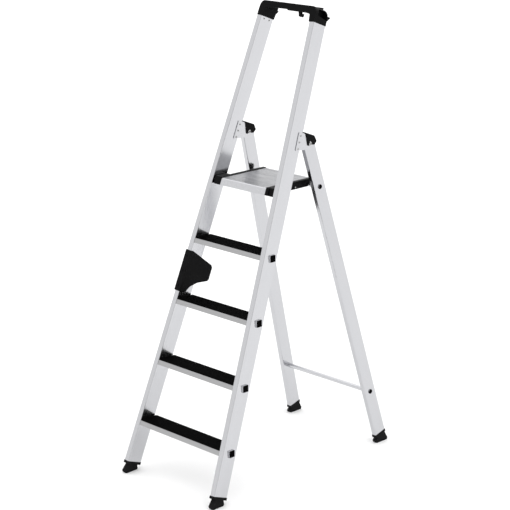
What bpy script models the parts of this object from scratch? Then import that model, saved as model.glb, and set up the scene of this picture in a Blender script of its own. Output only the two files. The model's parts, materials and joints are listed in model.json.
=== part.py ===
"""Platform step ladder: four treads, a platform, a top tray bow and a folding rear frame.

Metres, +Z up. The climbing side faces -Y and the rear legs stand toward +Y.
"""

import math

import bmesh
import bpy
from mathutils import Matrix

for scene_object in list(bpy.data.objects):
    bpy.data.objects.remove(scene_object, do_unlink=True)

MM = 0.001
GAP = 0.3 * MM

# Driving dimensions ---------------------------------------------------------------------
FRONT_LEAN = math.radians(20.6)
REAR_LEAN = math.radians(15.7)
SPLAY_RATE = 0.0587
SPLAY = math.atan(SPLAY_RATE)
FRONT_Y = -508.7 * MM
FLOOR_HALF_WIDTH = 262.2 * MM

STEP_RISE = 235 * MM
FIRST_STEP = 211.8 * MM
TREAD_COUNT = 4
PLATFORM_TOP = FIRST_STEP + TREAD_COUNT * STEP_RISE

STILE_DEPTH = 70 * MM
STILE_THICK = 24 * MM
STILE_FORE = 2 * MM
STILE_WALL = 1.8 * MM
STILE_BOTTOM = 54.5 * MM
BOW_LOWER_EDGE = 1883.6 * MM
STILE_TOP = BOW_LOWER_EDGE - GAP

LEG_DEPTH = 58.5 * MM
LEG_THICK = 21 * MM
LEG_SPLAY_RATE = 0.0602
LEG_LENGTH = 1312.5 * MM
PIVOT_ALONG_STILE = 1437.4 * MM
PIVOT_BEHIND_FRONT = 116 * MM
CROSS_TUBE_DROP = 183 * MM
LOWER_BRACE_DROP = 1114 * MM
TUBE_RADIUS = 9 * MM

TREAD_DEPTH = 80 * MM
NOSE_HEIGHT = 21 * MM
COVER_THICK = 2.2 * MM
SLEEVE_SETBACK = 36 * MM
SLEEVE_DROP = 16.8 * MM
SLEEVE_WIDTH = 26.6 * MM
SLEEVE_HEIGHT = 27.6 * MM
SLEEVE_WALL = 1.5 * MM
SLEEVE_PROUD = 5 * MM

CHEEK_THICK = 2.5 * MM
CHEEK_RIVET_SETBACK = 54.5 * MM
CHEEK_RIVET_HEIGHTS = (17 * MM, -8.7 * MM, -34.4 * MM)
RIVET_RADIUS = 2.4 * MM
PIVOT_RADIUS = 5 * MM

DECK_HALF_WIDTH = 122 * MM
DECK_REAR = 678 * MM
BAR_WIDTH = 16 * MM
BAR_REAR = 682 * MM
PLATFORM_DROP = 27.3 * MM
PLATFORM_PIN_SETBACK = 30 * MM
PLATFORM_PIN_DROP = 13.8 * MM
BLOCK_HALF_WIDTH = 161.5 * MM

COLLAR_HEIGHT = 10.6 * MM
COLLAR_LIP = 1.5 * MM

# Derived places -------------------------------------------------------------------------
STILE_AXIS_X = FLOOR_HALF_WIDTH - STILE_THICK / 2
LEAN_TAN = math.tan(FRONT_LEAN)
LEAN_SIN = math.sin(FRONT_LEAN)
LEAN_COS = math.cos(FRONT_LEAN)
STILE_REAR = STILE_DEPTH - STILE_FORE
STILE_MIDDLE = STILE_DEPTH / 2 - STILE_FORE
LEG_SPLAY = math.atan(LEG_SPLAY_RATE)
PIVOT_Y = PIVOT_ALONG_STILE * LEAN_SIN + PIVOT_BEHIND_FRONT * LEAN_COS
PIVOT_Z = PIVOT_ALONG_STILE * LEAN_COS - PIVOT_BEHIND_FRONT * LEAN_SIN
PIVOT_AXIS_X = STILE_AXIS_X - SPLAY_RATE * PIVOT_ALONG_STILE
PLATFORM_FRONT = PLATFORM_TOP * LEAN_TAN
PLATFORM_PIN_Y = PLATFORM_FRONT + PLATFORM_PIN_SETBACK
PLATFORM_PIN_Z = PLATFORM_TOP - PLATFORM_PIN_DROP

# Collections ----------------------------------------------------------------------------
parts = bpy.data.collections.new("platform_step_ladder")
cutters = bpy.data.collections.new("cutters")
bpy.context.scene.collection.children.link(parts)
bpy.context.scene.collection.children.link(cutters)


# Shared building steps ------------------------------------------------------------------
FINISHES = {
    "aluminium": ((0.72, 0.725, 0.74), 0.32, 1.0),
    "steel": ((0.62, 0.62, 0.61), 0.3, 1.0),
    "plastic": ((0.012, 0.012, 0.013), 0.5, 0.0),
    "rubber": ((0.01, 0.01, 0.011), 0.75, 0.0),
}


def finish(part, kind):
    """Give the part its own material of the named kind."""
    color, roughness, metallic = FINISHES[kind]
    material = bpy.data.materials.new(f"{part.name}_{kind}")
    material.use_nodes = True
    shader = material.node_tree.nodes["Principled BSDF"]
    shader.inputs["Base Color"].default_value = (*color, 1.0)
    shader.inputs["Roughness"].default_value = roughness
    shader.inputs["Metallic"].default_value = metallic
    material.diffuse_color = (*color, 1.0)
    part.data.materials.append(material)


def place(name, mesh, parent, location=(0, 0, 0), rotation=(0, 0, 0)):
    """Add a named part to the ladder, under its parent."""
    part = bpy.data.objects.new(name, mesh)
    parts.objects.link(part)
    part.parent = parent
    part.location = location
    part.rotation_euler = rotation
    return part


def place_cutter(name, mesh, parent, location=(0, 0, 0), rotation=(0, 0, 0)):
    """Add a hidden body that only cuts or extends another."""
    cutter = bpy.data.objects.new(name, mesh)
    cutters.objects.link(cutter)
    cutter.parent = parent
    cutter.location = location
    cutter.rotation_euler = rotation
    cutter.hide_render = True
    cutter.display_type = "WIRE"
    return cutter


def frame(name, parent=None, location=(0, 0, 0), rotation=(0, 0, 0)):
    """An empty that holds one local frame or joint axis."""
    empty = bpy.data.objects.new(name, None)
    empty.empty_display_size = 0.05
    parts.objects.link(empty)
    empty.parent = parent
    empty.location = location
    empty.rotation_euler = rotation
    return empty


def boolean(part, tool, operation):
    """Cut the tool from the part, or join it, exactly."""
    step = part.modifiers.new(tool.name, "BOOLEAN")
    step.operation = operation
    step.solver = "EXACT"
    step.object = tool


def arc(center, radius, start_deg, end_deg, steps):
    """Points along an arc, both ends included."""
    points = []
    for index in range(steps + 1):
        angle = math.radians(start_deg + (end_deg - start_deg) * index / steps)
        points.append((center[0] + radius * math.cos(angle), center[1] + radius * math.sin(angle)))
    return points


def rounded(corners, steps=3):
    """Outline from (u, v, radius) corners, each one rounded by its own radius."""
    outline = []
    count = len(corners)
    for index, (u, v, radius) in enumerate(corners):
        if radius == 0:
            outline.append((u, v))
            continue
        before = corners[index - 1]
        after = corners[(index + 1) % count]
        into = (before[0] - u, before[1] - v)
        out = (after[0] - u, after[1] - v)
        into_length = math.hypot(*into)
        out_length = math.hypot(*out)
        into = (into[0] / into_length, into[1] / into_length)
        out = (out[0] / out_length, out[1] / out_length)
        half = math.acos(max(-1.0, min(1.0, into[0] * out[0] + into[1] * out[1]))) / 2
        reach = radius / math.tan(half)
        middle = (into[0] + out[0], into[1] + out[1])
        middle_length = math.hypot(*middle)
        to_center = radius / math.sin(half) / middle_length
        center = (u + middle[0] * to_center, v + middle[1] * to_center)
        start = math.atan2(v + into[1] * reach - center[1], u + into[0] * reach - center[0])
        end = math.atan2(v + out[1] * reach - center[1], u + out[0] * reach - center[0])
        turn = (end - start + math.pi) % (2 * math.pi) - math.pi
        for step in range(steps + 1):
            angle = start + turn * step / steps
            outline.append((center[0] + radius * math.cos(angle), center[1] + radius * math.sin(angle)))
    return outline


def box_outline(width, height, radius, center=(0, 0), steps=3):
    """A rounded rectangle."""
    left = center[0] - width / 2
    right = center[0] + width / 2
    low = center[1] - height / 2
    high = center[1] + height / 2
    corners = [(left, low, radius), (right, low, radius), (right, high, radius), (left, high, radius)]
    return rounded(corners, steps)


# Directions an outline can be extruded in: its u and v axes become the two others.
ALONG_X = Matrix(((0, 0, 1, 0), (1, 0, 0, 0), (0, 1, 0, 0), (0, 0, 0, 1)))
ALONG_Y = Matrix(((1, 0, 0, 0), (0, 0, -1, 0), (0, 1, 0, 0), (0, 0, 0, 1)))
ALONG_Z = Matrix.Identity(4)


def extruded(name, loops, low, high, direction=ALONG_X):
    """Solid from closed outlines (the later ones are holes), between two places on one axis."""
    low, high = sorted((low, high))
    curve = bpy.data.curves.new(name, "CURVE")
    curve.dimensions = "2D"
    curve.fill_mode = "BOTH"
    curve.extrude = (high - low) / 2
    for loop in loops:
        spline = curve.splines.new("POLY")
        spline.points.add(len(loop) - 1)
        for point, (u, v) in zip(spline.points, loop):
            point.co = (u, v, 0, 1)
        spline.use_cyclic_u = True
    holder = bpy.data.objects.new(name, curve)
    parts.objects.link(holder)
    graph = bpy.context.evaluated_depsgraph_get()
    mesh = bpy.data.meshes.new_from_object(holder.evaluated_get(graph))
    bpy.data.objects.remove(holder, do_unlink=True)
    bpy.data.curves.remove(curve)
    body = bmesh.new()
    body.from_mesh(mesh)
    bmesh.ops.remove_doubles(body, verts=body.verts, dist=0.001 * MM)
    middle = (low + high) / 2
    if direction == ALONG_Y:
        middle = -middle
    bmesh.ops.translate(body, verts=body.verts, vec=(0, 0, middle))
    bmesh.ops.transform(body, matrix=direction, verts=body.verts)
    bmesh.ops.recalc_face_normals(body, faces=body.faces)
    body.to_mesh(mesh)
    body.free()
    mesh.name = name
    return mesh


def rod(name, radius, low, high, steps=20):
    """Round bar along X."""
    return extruded(name, [arc((0, 0), radius, 0, 360 * (steps - 1) / steps, steps - 1)], low, high)


def merged(name, meshes):
    """Several separate bodies in one mesh, used only for cutters."""
    body = bmesh.new()
    for mesh in meshes:
        body.from_mesh(mesh)
    joined = bpy.data.meshes.new(name)
    body.to_mesh(joined)
    body.free()
    return joined


def moved(mesh, offset, rotation=None):
    """The same mesh turned, then shifted."""
    if rotation is not None:
        mesh.transform(rotation)
    mesh.transform(Matrix.Translation(offset))
    return mesh


def turned(name, profile, parent, location, rotation=(0, 0, 0), steps=24):
    """Turned body about its local Z: (radius, height) points from top to bottom."""
    mesh = bpy.data.meshes.new(name)
    points = [(radius, 0, height) for radius, height in profile]
    edges = [(index, index + 1) for index in range(len(points) - 1)]
    mesh.from_pydata(points, edges, [])
    part = place(name, mesh, parent, location, rotation)
    screw = part.modifiers.new("turn", "SCREW")
    screw.steps = steps
    screw.render_steps = steps
    screw.use_merge_vertices = True
    screw.merge_threshold = 0.0001
    return part


def smooth(part, limit_deg=30):
    """Shade round stretches smooth and keep real edges sharp."""
    part.data.shade_smooth()
    part.data.set_sharp_from_angle(angle=math.radians(limit_deg))


def inner_half_width(y, z):
    """Half the clear width between the two stiles at a place in the ladder's own side view."""
    along = y * LEAN_SIN + z * LEAN_COS
    return STILE_AXIS_X - STILE_THICK / 2 / math.cos(SPLAY) - along * SPLAY_RATE


def trim_between_stiles(mesh, origin_y, origin_z, gap=GAP):
    """Bring both ends of a crosswise extrusion to the stiles' inner faces."""
    for vertex in mesh.vertices:
        reach = inner_half_width(origin_y + vertex.co.y, origin_z + vertex.co.z) - gap
        vertex.co.x = math.copysign(reach, vertex.co.x)


# Frames ---------------------------------------------------------------------------------
root = frame("ladder_floor_line", location=(0, FRONT_Y, 0))
front = frame("front_frame_plane", root, rotation=(-FRONT_LEAN, 0, 0))
rear_hinge = frame("rear_frame_hinge", root, (0, PIVOT_Y, PIVOT_Z))
rear = frame("rear_frame_plane", rear_hinge, rotation=(REAR_LEAN, 0, 0))
platform = frame("platform_hinge", root, (0, PLATFORM_PIN_Y, PLATFORM_PIN_Z))

SIDES = {"left": -1, "right": 1}
stile_axis = {}
leg_axis = {}
for side, sign in SIDES.items():
    stile_axis[side] = frame(
        f"stile_axis_{side}", front, (sign * STILE_AXIS_X, 0, 0), (0, -sign * SPLAY, 0)
    )
    leg_axis[side] = frame(
        f"leg_axis_{side}", rear, (sign * PIVOT_AXIS_X, 0, 0), (0, -sign * LEG_SPLAY, 0)
    )


def along_stile(distance):
    """Length along a splayed stile for a distance along the leaning plane."""
    return distance / math.cos(SPLAY)


def along_leg(distance):
    """Length along a splayed rear leg for a distance along the rear plane."""
    return distance / math.cos(LEG_SPLAY)


PIVOT_ON_STILE = along_stile(PIVOT_ALONG_STILE)

# Treads and their covers ----------------------------------------------------------------
RIB_PITCH = 6 * MM
RIB_WIDTH = 3.4 * MM
RIB_HEIGHT = 0.9 * MM
RIB_COUNT = 12
TREAD_REAR_DROP = 16 * MM
PLATE_UNDERSIDE = 6.4 * MM
TREAD_WALL = 2.2 * MM

# Side outline of the aluminium tread, from its front top corner: a leaning nose box, a flat
# plate and a rear box.
tread_top = -COVER_THICK - GAP
nose_outline = [
    (-NOSE_HEIGHT * LEAN_TAN, -NOSE_HEIGHT, 1.2 * MM),
    (24 * MM, -NOSE_HEIGHT, 1.2 * MM),
    (24 * MM, -PLATE_UNDERSIDE, 1.5 * MM),
    (58 * MM, -PLATE_UNDERSIDE, 1.5 * MM),
    (58 * MM, -TREAD_REAR_DROP, 1.2 * MM),
    (TREAD_DEPTH - 1.2 * MM, -TREAD_REAR_DROP, 1.2 * MM),
    (TREAD_DEPTH - 1.2 * MM, tread_top, 0.8 * MM),
    (tread_top * LEAN_TAN, tread_top, 0.8 * MM),
]
box_top = tread_top - TREAD_WALL
nose_box = [
    ((TREAD_WALL - NOSE_HEIGHT) * LEAN_TAN + TREAD_WALL, TREAD_WALL - NOSE_HEIGHT, 0),
    (24 * MM - TREAD_WALL, TREAD_WALL - NOSE_HEIGHT, 0),
    (24 * MM - TREAD_WALL, box_top, 0),
    (box_top * LEAN_TAN + TREAD_WALL, box_top, 0),
]
rear_box = [
    (58 * MM + TREAD_WALL, TREAD_WALL - TREAD_REAR_DROP, 0),
    (TREAD_DEPTH - 1.2 * MM - TREAD_WALL, TREAD_WALL - TREAD_REAR_DROP, 0),
    (TREAD_DEPTH - 1.2 * MM - TREAD_WALL, box_top, 0),
    (58 * MM + TREAD_WALL, box_top, 0),
]
tread_loops = [rounded(nose_outline, 2), rounded(nose_box), rounded(rear_box)]

# Side outline of the black cover: ribbed top, front edge flush with the nose, clip behind.
cover_outline = [(-COVER_THICK * LEAN_TAN, -COVER_THICK)]
cover_outline += [(TREAD_DEPTH - 0.9 * MM, -COVER_THICK)]
cover_outline += [(TREAD_DEPTH - 0.9 * MM, -9 * MM), (TREAD_DEPTH + 0.7 * MM, -9 * MM)]
cover_outline += [(TREAD_DEPTH + 0.7 * MM, -RIB_HEIGHT - 0.6 * MM), (TREAD_DEPTH, -RIB_HEIGHT)]
for rib in range(RIB_COUNT, 0, -1):
    middle = rib * RIB_PITCH + 1 * MM
    cover_outline.append((middle + RIB_WIDTH / 2, -RIB_HEIGHT))
    cover_outline.append((middle + RIB_WIDTH / 2 - 0.4 * MM, 0))
    cover_outline.append((middle - RIB_WIDTH / 2 + 0.4 * MM, 0))
    cover_outline.append((middle - RIB_WIDTH / 2, -RIB_HEIGHT))
cover_outline += [(0.4 * MM, -RIB_HEIGHT), (-0.5 * MM, -RIB_HEIGHT - 0.5 * MM)]

# A square sleeve under the plate passes through both stiles; outside each one it carries a
# rolled collar and stands proud.
ROLLED_EDGE = 1.4 * MM
sleeve_middle = (SLEEVE_SETBACK, -SLEEVE_DROP)
sleeve_loops = [
    box_outline(SLEEVE_WIDTH, SLEEVE_HEIGHT, 2.5 * MM, sleeve_middle),
    box_outline(
        SLEEVE_WIDTH - 2 * SLEEVE_WALL, SLEEVE_HEIGHT - 2 * SLEEVE_WALL, 1.5 * MM, sleeve_middle, 2
    ),
]
collar_loops = [
    box_outline(
        SLEEVE_WIDTH + 2 * ROLLED_EDGE, SLEEVE_HEIGHT + 2 * ROLLED_EDGE, 4.2 * MM, sleeve_middle
    ),
    box_outline(
        SLEEVE_WIDTH - SLEEVE_WALL, SLEEVE_HEIGHT - SLEEVE_WALL, 2.2 * MM, sleeve_middle, 2
    ),
]
stile_across = STILE_THICK / math.cos(SPLAY)

tread_places = []
sleeve_ends = []
for number in range(1, TREAD_COUNT + 1):
    height = FIRST_STEP + (number - 1) * STEP_RISE
    tread_y = height * LEAN_TAN
    tread_places.append((tread_y, height))
    location = (0, tread_y, height)
    tread_mesh = extruded(f"tread_{number}", tread_loops, -1, 1)
    trim_between_stiles(tread_mesh, tread_y, height)
    tread = place(f"tread_{number}", tread_mesh, root, location)
    outside = inner_half_width(tread_y + SLEEVE_SETBACK, height - SLEEVE_DROP) + stile_across
    sleeve_ends.append(outside + SLEEVE_PROUD)
    sleeve_mesh = extruded("sleeve", sleeve_loops, -sleeve_ends[-1], sleeve_ends[-1])
    sleeve = place_cutter(f"tread_{number}_sleeve", sleeve_mesh, root, location)
    boolean(tread, sleeve, "UNION")
    for sign in (-1, 1):
        collar_mesh = extruded("collar", collar_loops, -1, 1)
        for vertex in collar_mesh.vertices:
            edge = inner_half_width(tread_y + vertex.co.y, height + vertex.co.z) + stile_across
            layer = GAP if vertex.co.x < 0 else GAP + ROLLED_EDGE
            vertex.co.x = edge + layer
        if sign < 0:
            collar_mesh.transform(Matrix.Scale(-1, 4, (1, 0, 0)))
            collar_mesh.flip_normals()
        collar = place_cutter(f"tread_{number}_collar_{sign}", collar_mesh, root, location)
        boolean(tread, collar, "UNION")
    finish(tread, "aluminium")
    cover_mesh = extruded(f"tread_cover_{number}", [cover_outline], -1, 1)
    trim_between_stiles(cover_mesh, height * LEAN_TAN, height, 2 * GAP)
    cover = place(f"tread_cover_{number}", cover_mesh, root, location)
    finish(cover, "plastic")

# Stiles ---------------------------------------------------------------------------------
stile_loops = [
    box_outline(STILE_THICK, STILE_DEPTH, 3 * MM, (0, STILE_MIDDLE)),
    box_outline(
        STILE_THICK - 2 * STILE_WALL, STILE_DEPTH - 2 * STILE_WALL, 1.2 * MM, (0, STILE_MIDDLE), 2
    ),
]
sleeve_hole = box_outline(
    SLEEVE_WIDTH + 2 * GAP, SLEEVE_HEIGHT + 2 * GAP, 2.8 * MM, sleeve_middle
)
BOW_RIVET_DROP = 9 * MM
BOW_RIVET_SETBACKS = (17 * MM, 47 * MM)


def on_stile(y, z):
    """Setback and length along a stile for a point in the ladder's side view."""
    setback = y * LEAN_COS - z * LEAN_SIN
    return setback, along_stile(y * LEAN_SIN + z * LEAN_COS)


pin_setback, pin_along = on_stile(PLATFORM_PIN_Y, PLATFORM_PIN_Z)
hole_reach = STILE_THICK

for side, sign in SIDES.items():
    axis = stile_axis[side]
    stile = place(
        f"stile_{side}",
        extruded(
            f"stile_{side}",
            stile_loops,
            along_stile(STILE_BOTTOM),
            along_stile(STILE_TOP),
            ALONG_Z,
        ),
        axis,
    )
    sleeve_holes = []
    for (y, z), end in zip(tread_places, sleeve_ends):
        hole = extruded("sleeve_hole", [sleeve_hole], sign * (end - 2 * STILE_THICK), sign * end)
        sleeve_holes.append(moved(hole, (0, y, z)))
    tool = place_cutter(f"sleeve_holes_{side}", merged("sleeve_holes", sleeve_holes), root)
    boolean(stile, tool, "DIFFERENCE")
    holes = []
    for rise in CHEEK_RIVET_HEIGHTS:
        hole = rod("rivet_hole", RIVET_RADIUS + GAP, -hole_reach, hole_reach, 14)
        holes.append(moved(hole, (0, CHEEK_RIVET_SETBACK, PIVOT_ON_STILE + rise)))
    for setback in BOW_RIVET_SETBACKS:
        hole = rod("bow_rivet_hole", RIVET_RADIUS + GAP, 0, sign * -hole_reach, 14)
        holes.append(moved(hole, (0, setback, along_stile(BOW_LOWER_EDGE - BOW_RIVET_DROP))))
    hole = rod("pin_hole", 5 * MM + GAP, 0, sign * -hole_reach, 18)
    holes.append(moved(hole, (0, pin_setback, pin_along), Matrix.Rotation(sign * SPLAY, 4, "Y")))
    boolean(stile, place_cutter(f"stile_holes_{side}", merged("stile_holes", holes), axis), "DIFFERENCE")
    smooth(stile)
    finish(stile, "aluminium")

# Square plugs that close the sleeves' ends: a flange over the rim and a hollow shank inside.
PLUG_FACE = 1.4 * MM
PLUG_SHANK = 7 * MM
PLUG_INSET = 0.5 * MM
SHANK_PLAY = 0.5 * MM
SHANK_WALL = 1.5 * MM
mouth_width = SLEEVE_WIDTH - 2 * SLEEVE_WALL
mouth_height = SLEEVE_HEIGHT - 2 * SLEEVE_WALL
for side, sign in SIDES.items():
    for number, ((y, z), end) in enumerate(zip(tread_places, sleeve_ends), 1):
        face = box_outline(
            SLEEVE_WIDTH - 2 * PLUG_INSET, SLEEVE_HEIGHT - 2 * PLUG_INSET, 1.6 * MM
        )
        shank_loops = [
            box_outline(mouth_width - 2 * inset, mouth_height - 2 * inset, 1 * MM)
            for inset in (SHANK_PLAY, SHANK_PLAY + SHANK_WALL)
        ]
        rim = end + GAP
        name = f"stile_plug_{side}_{number}"
        plug_mesh = extruded(name, [face], sign * rim, sign * (rim + PLUG_FACE))
        shank_mesh = extruded(
            "shank", shank_loops, sign * (end - PLUG_SHANK), sign * (rim + PLUG_FACE / 2)
        )
        location = (0, y + SLEEVE_SETBACK, z - SLEEVE_DROP)
        plug = place(name, plug_mesh, root, location)
        tool = place_cutter(f"plug_shank_{side}_{number}", shank_mesh, root, location)
        boolean(plug, tool, "UNION")
        finish(plug, "plastic")

# Hinge brackets -------------------------------------------------------------------------
# Side outline of a cheek plate: setback from the stile's front face, height from the pivot.
cheek_outline = rounded(
    [
        (42 * MM, 29 * MM, 4 * MM),
        (43 * MM, -45 * MM, 4 * MM),
        (107 * MM, -25 * MM, 12 * MM),
        (137 * MM, -5 * MM, 12 * MM),
        (142.5 * MM, 15.5 * MM, 6 * MM),
        (126 * MM, 30.4 * MM, 6 * MM),
        (66 * MM, 30.4 * MM, 2 * MM),
        (58 * MM, 29 * MM, 2 * MM),
    ],
    3,
)
bolt_tilt = {side: Matrix.Rotation(sign * SPLAY, 4, "Y") for side, sign in SIDES.items()}
cheek_low = STILE_THICK / 2 + GAP
cheek_high = cheek_low + CHEEK_THICK
for side, sign in SIDES.items():
    for face, outward in (("outer", sign), ("inner", -sign)):
        low = outward * cheek_low
        high = outward * cheek_high
        name = f"hinge_cheek_{side}_{face}"
        cheek = place(
            name, extruded(name, [cheek_outline], low, high), stile_axis[side], (0, 0, PIVOT_ON_STILE)
        )
        holes = [
            moved(
                rod("rivet_hole", RIVET_RADIUS + GAP, -hole_reach, hole_reach, 14),
                (0, CHEEK_RIVET_SETBACK, rise),
            )
            for rise in CHEEK_RIVET_HEIGHTS
        ]
        holes.append(
            moved(
                rod("pivot_hole", PIVOT_RADIUS + GAP, -hole_reach, hole_reach, 20),
                (0, PIVOT_BEHIND_FRONT, 0),
                bolt_tilt[side],
            )
        )
        tool = place_cutter(
            f"cheek_holes_{side}_{face}",
            merged("cheek_holes", holes),
            stile_axis[side],
            (0, 0, PIVOT_ON_STILE),
        )
        boolean(cheek, tool, "DIFFERENCE")
        smooth(cheek)
        finish(cheek, "aluminium")

# Rivets through both cheeks and the stile.
rivet_half = cheek_high + GAP
rivet_head = 1.6 * MM
rivet_profile = [
    (0, rivet_half + rivet_head),
    (2.4 * MM, rivet_half + 0.85 * rivet_head),
    (3.9 * MM, rivet_half + 0.35 * rivet_head),
    (4.3 * MM, rivet_half),
    (RIVET_RADIUS, rivet_half),
    (RIVET_RADIUS, -rivet_half),
    (4.3 * MM, -rivet_half),
    (3.9 * MM, -rivet_half - 0.35 * rivet_head),
    (2.4 * MM, -rivet_half - 0.85 * rivet_head),
    (0, -rivet_half - rivet_head),
]
quarter = math.pi / 2
for side in SIDES:
    for number, rise in enumerate(CHEEK_RIVET_HEIGHTS, 1):
        rivet = turned(
            f"cheek_rivet_{side}_{number}",
            rivet_profile,
            stile_axis[side],
            (0, CHEEK_RIVET_SETBACK, PIVOT_ON_STILE + rise),
            (0, quarter, 0),
            14,
        )
        smooth(rivet)
        finish(rivet, "steel")

# Pivot bolts: the rear frame's hinge pins, level across the ladder.
bolt_half = cheek_high + 0.9 * MM
bolt_profile = [
    (0, bolt_half + 3 * MM),
    (5 * MM, bolt_half + 2.8 * MM),
    (7 * MM, bolt_half + 1.6 * MM),
    (7.4 * MM, bolt_half),
    (PIVOT_RADIUS, bolt_half),
    (PIVOT_RADIUS, -bolt_half),
    (7.4 * MM, -bolt_half),
    (7 * MM, -bolt_half - 1.6 * MM),
    (5 * MM, -bolt_half - 2.8 * MM),
    (0, -bolt_half - 3 * MM),
]
for side, sign in SIDES.items():
    bolt = turned(
        f"pivot_bolt_{side}",
        bolt_profile,
        rear_hinge,
        (sign * PIVOT_AXIS_X, 0, 0),
        (0, quarter, 0),
    )
    smooth(bolt)
    finish(bolt, "steel")

# Hinge covers: a moulded shell over the cheeks' upper rear corner, open below the bolt.
COVER_HALF_WIDTH = cheek_high + 0.4 * MM + 2.2 * MM
cap_outline = rounded(
    [
        (STILE_REAR + 0.6 * MM, 34.5 * MM, 0),
        (STILE_REAR + 0.6 * MM, 31.8 * MM, 0),
        (79.5 * MM, 28 * MM, 4 * MM),
        (101.5 * MM, -10.5 * MM, 2 * MM),
        (108.5 * MM, -10.5 * MM, 1 * MM),
    ]
    + [(u, v, 0) for u, v in arc((PIVOT_BEHIND_FRONT, 0), 8.8 * MM, 225, -15, 10)]
    + [
        (138.5 * MM, 0.5 * MM, 3 * MM),
        (147.5 * MM, 17 * MM, 7 * MM),
        (128 * MM, 34.5 * MM, 9 * MM),
    ],
    4,
)
cap_hollow = [
    (50 * MM, 31.2 * MM),
    (126 * MM, 31.2 * MM),
    (144 * MM, 16.2 * MM),
    (170 * MM, 8 * MM),
    (170 * MM, -30 * MM),
    (50 * MM, -30 * MM),
]
cap_inner = cheek_high + 0.4 * MM
for side in SIDES:
    name = f"hinge_cover_{side}"
    cap = place(
        name,
        extruded(name, [cap_outline], -COVER_HALF_WIDTH, COVER_HALF_WIDTH),
        stile_axis[side],
        (0, 0, PIVOT_ON_STILE),
    )
    tool = place_cutter(
        f"hinge_cover_hollow_{side}",
        extruded("hinge_cover_hollow", [cap_hollow], -cap_inner, cap_inner),
        stile_axis[side],
        (0, 0, PIVOT_ON_STILE),
    )
    boolean(cap, tool, "DIFFERENCE")
    smooth(cap)
    finish(cap, "plastic")

# Rear legs, cross tube and lower brace ---------------------------------------------------
LEG_WALL = 1.8 * MM
LEG_END_RADIUS = 29.3 * MM
leg_loops = [
    box_outline(LEG_THICK, LEG_DEPTH, 3 * MM),
    box_outline(LEG_THICK - 2 * LEG_WALL, LEG_DEPTH - 2 * LEG_WALL, 1.2 * MM, steps=2),
]
end_cut = [(-40 * MM, 1 * MM)] + arc((0, 0), LEG_END_RADIUS, 178, 2, 12)
end_cut += [(40 * MM, 1 * MM), (40 * MM, 42 * MM), (-40 * MM, 42 * MM)]
for side, sign in SIDES.items():
    axis = leg_axis[side]
    leg_level = Matrix.Rotation(sign * LEG_SPLAY, 4, "Y")
    name = f"rear_leg_{side}"
    leg = place(
        name,
        extruded(name, leg_loops, -along_leg(LEG_LENGTH), 32 * MM, ALONG_Z),
        axis,
    )
    end_tool = extruded("leg_end_cut", [end_cut], -hole_reach, hole_reach)
    boolean(leg, place_cutter(f"leg_end_cut_{side}", end_tool, axis), "DIFFERENCE")
    holes = [
        moved(
            rod("leg_pivot_hole", PIVOT_RADIUS + GAP, -hole_reach, hole_reach, 20),
            (0, 0, 0),
            leg_level,
        )
    ]
    for drop in (CROSS_TUBE_DROP, LOWER_BRACE_DROP):
        holes.append(
            moved(
                rod("leg_tube_hole", TUBE_RADIUS + GAP, -hole_reach, hole_reach, 24),
                (0, 0, -along_leg(drop)),
                leg_level,
            )
        )
    tool = place_cutter(f"leg_holes_{side}", merged("leg_holes", holes), axis)
    boolean(leg, tool, "DIFFERENCE")
    smooth(leg)
    finish(leg, "aluminium")

TUBE_WALL = 1.5 * MM
circle = arc((0, 0), TUBE_RADIUS, 0, 345, 23)
bore = arc((0, 0), TUBE_RADIUS - TUBE_WALL, 0, 345, 23)
for name, drop, label in (
    ("cross_tube", CROSS_TUBE_DROP, "cross_tube_plug"),
    ("lower_brace", LOWER_BRACE_DROP, "brace_plug"),
):
    half_length = PIVOT_AXIS_X + drop * LEG_SPLAY_RATE + LEG_THICK / 2 + 0.9 * MM
    tube = place(name, extruded(name, [circle, bore], -half_length, half_length), rear, (0, 0, -drop))
    smooth(tube)
    finish(tube, "aluminium")
    plug_profile = [
        (0, 2.8 * MM),
        (6 * MM, 2.7 * MM),
        (9 * MM, 2 * MM),
        (TUBE_RADIUS + 0.5 * MM, 1.2 * MM),
        (TUBE_RADIUS + 0.5 * MM, GAP),
        (TUBE_RADIUS - TUBE_WALL - GAP, GAP),
        (TUBE_RADIUS - TUBE_WALL - GAP, -9 * MM),
        (0, -9 * MM),
    ]
    for side, sign in SIDES.items():
        plug = turned(
            f"{label}_{side}",
            plug_profile,
            rear,
            (sign * half_length, 0, -drop),
            (0, sign * quarter, 0),
            20,
        )
        smooth(plug)
        finish(plug, "plastic")

# Feet -----------------------------------------------------------------------------------
INSERT_LENGTH = 28 * MM
SOLE_THICK = 21 * MM
# Side outlines of the soles, as distance behind the front floor line and height.
front_sole = rounded(
    [
        (9 * MM, 0, 3 * MM),
        (62.5 * MM, 0, 2.5 * MM),
        (67.5 * MM, 4 * MM, 2.5 * MM),
        (66 * MM, 23 * MM, 0),
        (27 * MM, 40 * MM, 0),
        (4 * MM, 10.5 * MM, 2.5 * MM),
    ],
    3,
)
rear_sole = rounded(
    [
        (947 * MM, 0, 3 * MM),
        (1009 * MM, 0, 3 * MM),
        (1013.5 * MM, 8 * MM, 2.5 * MM),
        (1003 * MM, 26 * MM, 3 * MM),
        (995 * MM, 41 * MM, 0),
        (952 * MM, 27.5 * MM, 0),
        (951.5 * MM, 18 * MM, 3 * MM),
        (942 * MM, 9 * MM, 2.5 * MM),
    ],
    3,
)
foot_data = (
    ("front_foot", stile_axis, STILE_THICK, STILE_DEPTH, STILE_MIDDLE, along_stile(STILE_BOTTOM)),
    ("rear_foot", leg_axis, LEG_THICK, LEG_DEPTH, 0, -along_leg(LEG_LENGTH)),
)
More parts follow.
